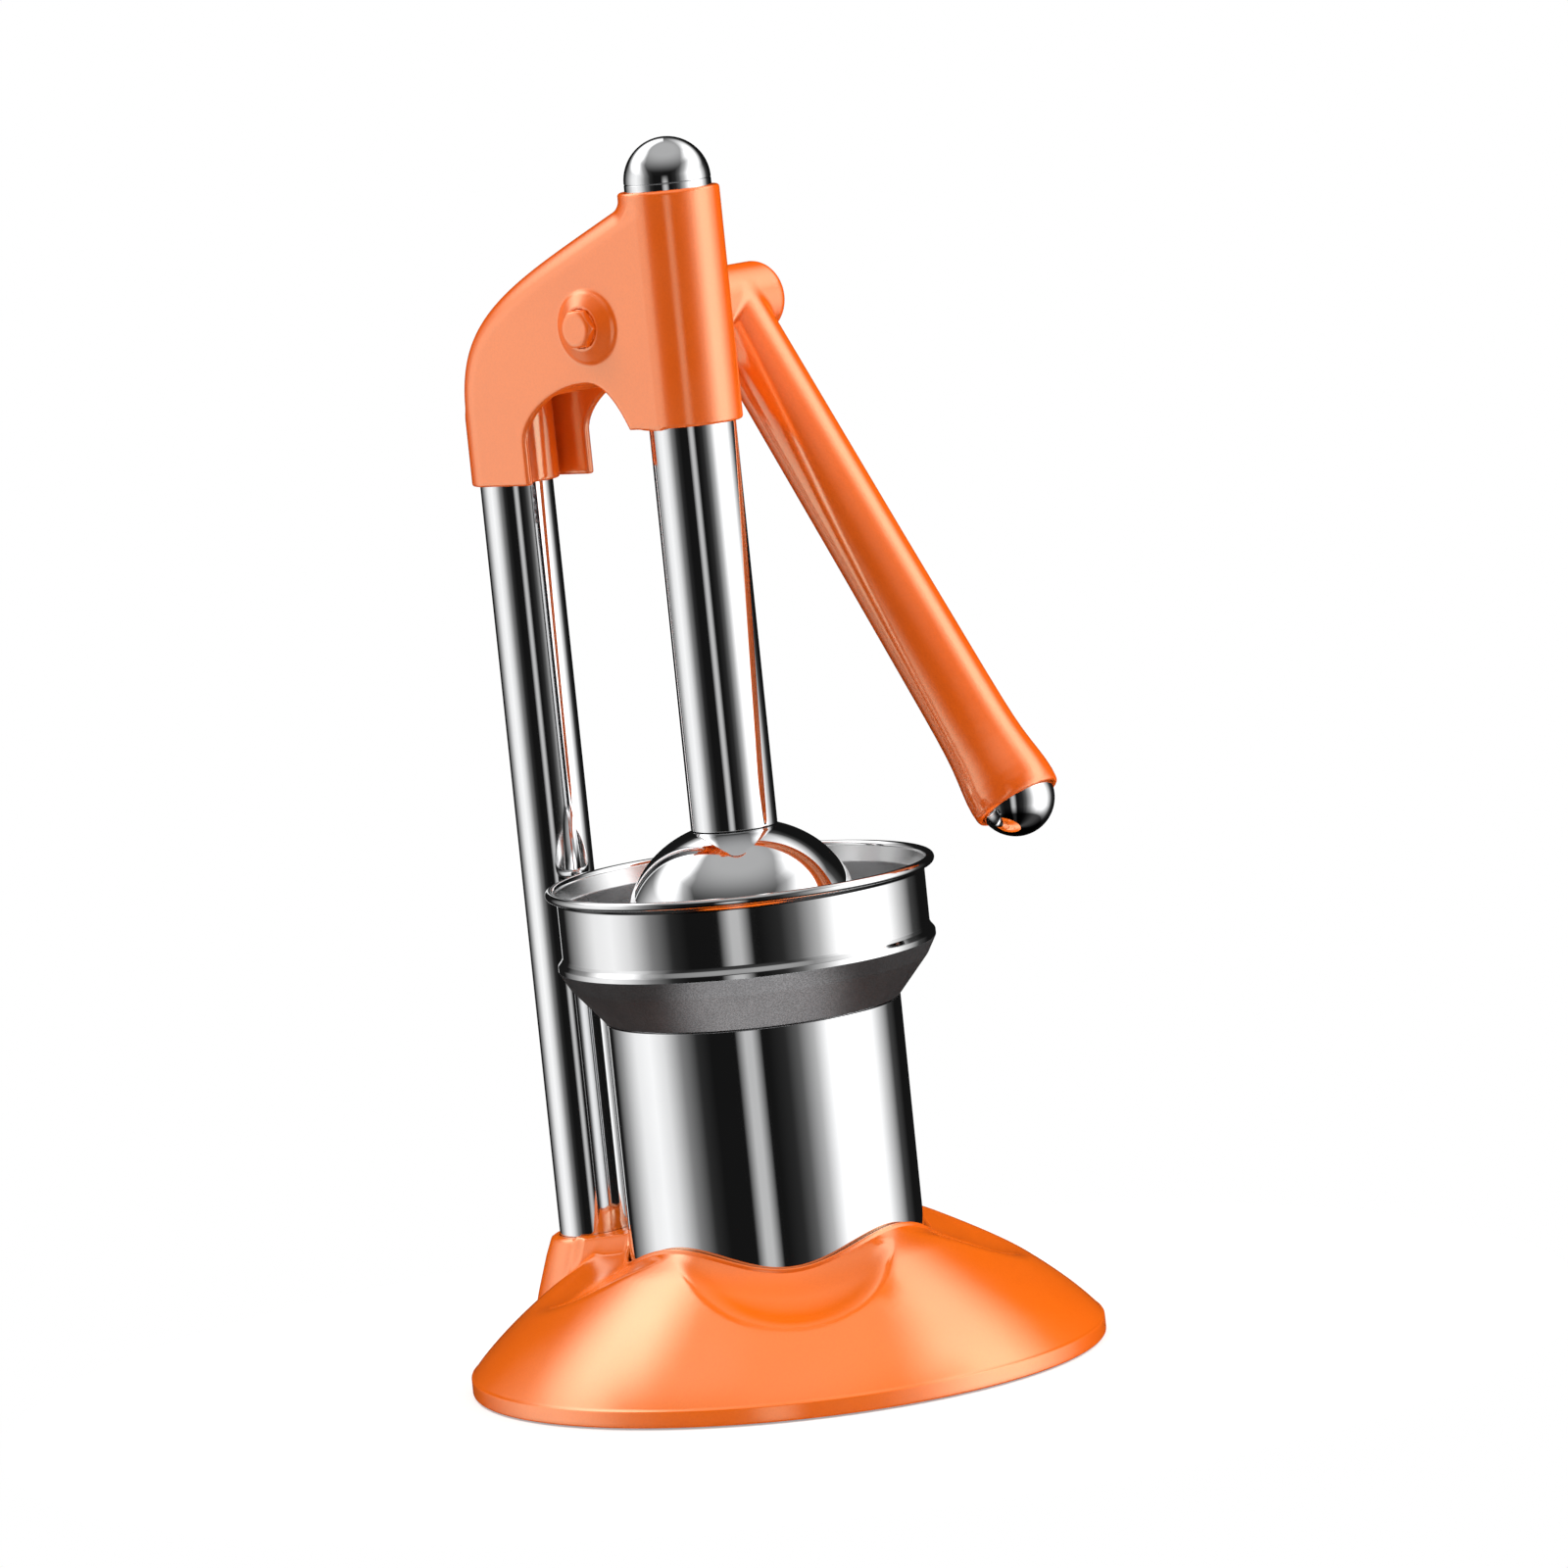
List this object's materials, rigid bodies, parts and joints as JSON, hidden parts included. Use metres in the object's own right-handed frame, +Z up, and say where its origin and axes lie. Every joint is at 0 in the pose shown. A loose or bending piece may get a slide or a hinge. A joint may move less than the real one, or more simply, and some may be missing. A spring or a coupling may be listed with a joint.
{
  "type": "citrus press",
  "caption": "Hand-lever citrus press: wave-rimmed round base, rear column, arched head, rack-driven plunger with pressing dome, straining bowl on a cylindrical juice cup.",
  "frame": {"origin": "on the plunger's axis, at the level of the feet's lower faces", "axes": "+Z up along the plunger, +Y from the user towards the column, +X towards the lever's side"},
  "size_m": [0.1916, 0.1916, 0.37],
  "materials": {
    "orange_paint": "satin",
    "chrome": "mirror polish",
    "brushed_steel": "polished outside, fine brushed cone",
    "plain_steel": "machined",
    "nylon": "matt",
    "rubber": "matt",
    "dark_plate": "matt"
  },
  "bodies": {
    "frame": {"base_shell": "orange_paint", "base_plate": "dark_plate", "foot_1": "rubber", "foot_2": "rubber", "foot_3": "rubber", "foot_4": "rubber", "plate_screw_1": "plain_steel", "plate_screw_2": "plain_steel", "plate_screw_3": "plain_steel", "plate_screw_4": "plain_steel", "column": "chrome", "column_washer": "plain_steel", "column_bolt": "plain_steel", "column_grub_screw_1": "plain_steel", "column_grub_screw_2": "plain_steel", "head": "orange_paint", "shaft_bearing": "nylon", "shaft_bush": "nylon"},
    "lever": {"lever": "orange_paint", "lever_cap": "chrome", "lever_set_screw": "plain_steel", "drive_shaft": "plain_steel", "pinion": "plain_steel", "pinion_key": "plain_steel", "thrust_washer": "plain_steel", "shaft_cap": "orange_paint"},
    "plunger": {"plunger_tube": "chrome", "plunger_cap": "chrome", "plunger_plug": "plain_steel", "rack": "plain_steel", "rack_screw_1": "plain_steel", "rack_screw_2": "plain_steel", "press_dome": "chrome", "press_washer": "plain_steel", "press_bolt": "plain_steel"},
    "cup": {"juice_cup": "chrome"},
    "bowl": {"bowl": "brushed_steel", "strainer": "brushed_steel"}
  },
  "joints": [
    {"name": "lever_turn", "type": "hinge", "parent": "frame", "child": "lever", "pos_m": [0, 0.02415, 0.3157], "axis": [-1, 0, 0], "range_deg": [0, 240]},
    {"name": "plunger_slide", "type": "slide", "parent": "frame", "child": "plunger", "axis": [0, 0, 1], "range_m": [0, 0.0535]},
    {"name": "cup_turn", "type": "hinge", "parent": "frame", "child": "cup", "pos_m": [0, 0, 0.06], "axis": [0, 0, 1], "continuous": true},
    {"name": "bowl_turn", "type": "hinge", "parent": "cup", "child": "bowl", "pos_m": [0, 0, 0.12], "axis": [0, 0, 1], "continuous": true}
  ],
  "couplings": [
    {"joint": "plunger_slide", "follows": "lever_turn", "m_per_rad": 0.01275}
  ]
}
